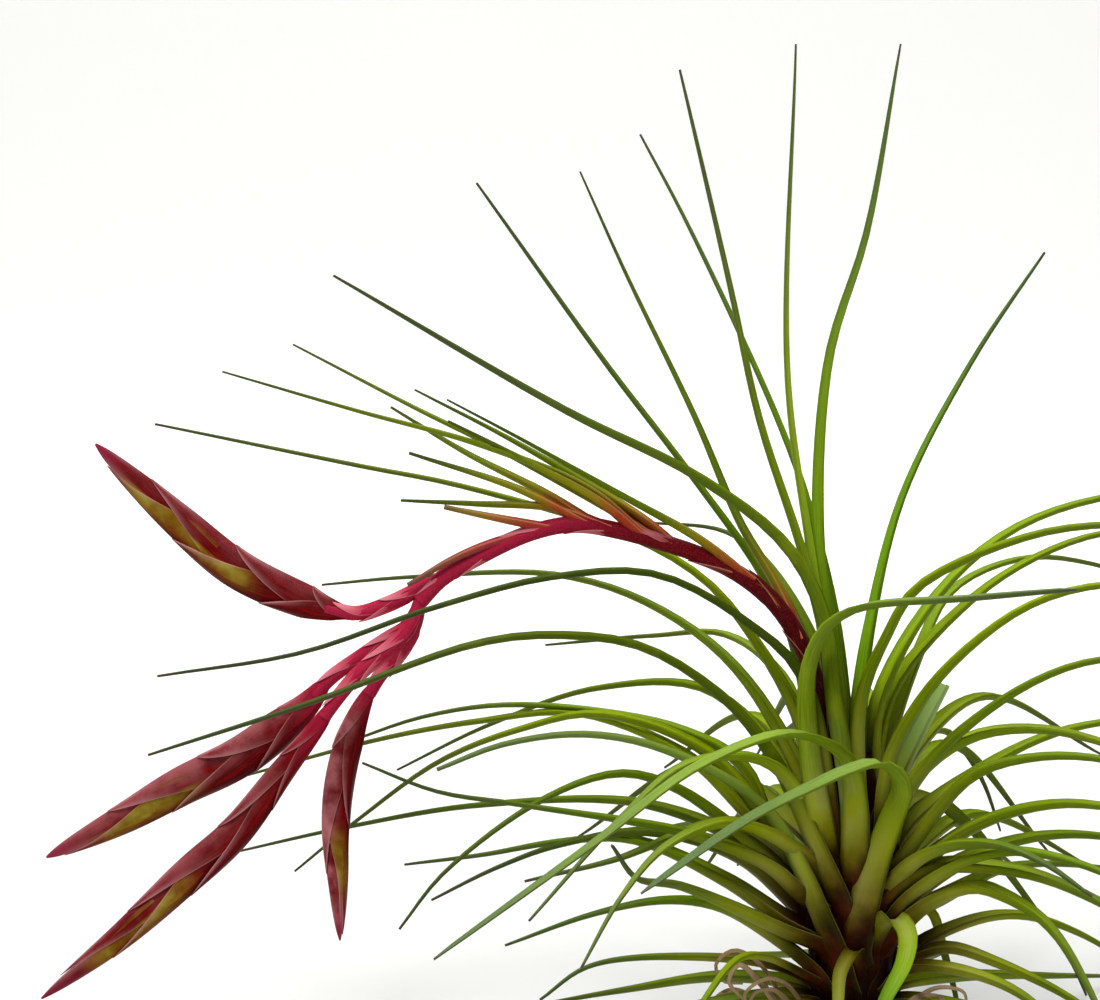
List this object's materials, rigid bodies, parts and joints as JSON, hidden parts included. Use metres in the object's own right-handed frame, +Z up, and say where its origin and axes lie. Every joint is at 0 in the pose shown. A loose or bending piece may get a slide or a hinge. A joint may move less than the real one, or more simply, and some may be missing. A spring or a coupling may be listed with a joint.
{
  "type": "flowering air plant",
  "caption": "Air plant in flower: a rosette of narrow arching green leaves on a short woody stem, with a leaning red stalk that carries flat crimson spikes",
  "frame": {"origin": "under the middle of the woody stem, on the surface that the plant stands on", "axes": "+X from the flower spikes' side towards the right-hand leaves, -Y the front, +Z up along the stem"},
  "size_m": [0.2743, 0.1755, 0.2061],
  "materials": {
    "woody_stem": "matte",
    "withered_leaf": "matte",
    "green_leaf": "satin",
    "red_stalk": "satin",
    "crimson_bract": "satin"
  },
  "bodies": {
    "root": {"stem_base": "woody_stem", "dry_leaves": "withered_leaf", "leaf_rosette": "green_leaf", "scape": "red_stalk", "spike_1": "crimson_bract", "spike_2": "crimson_bract", "spike_3": "crimson_bract", "spike_4": "crimson_bract"}
  },
  "joints": []
}
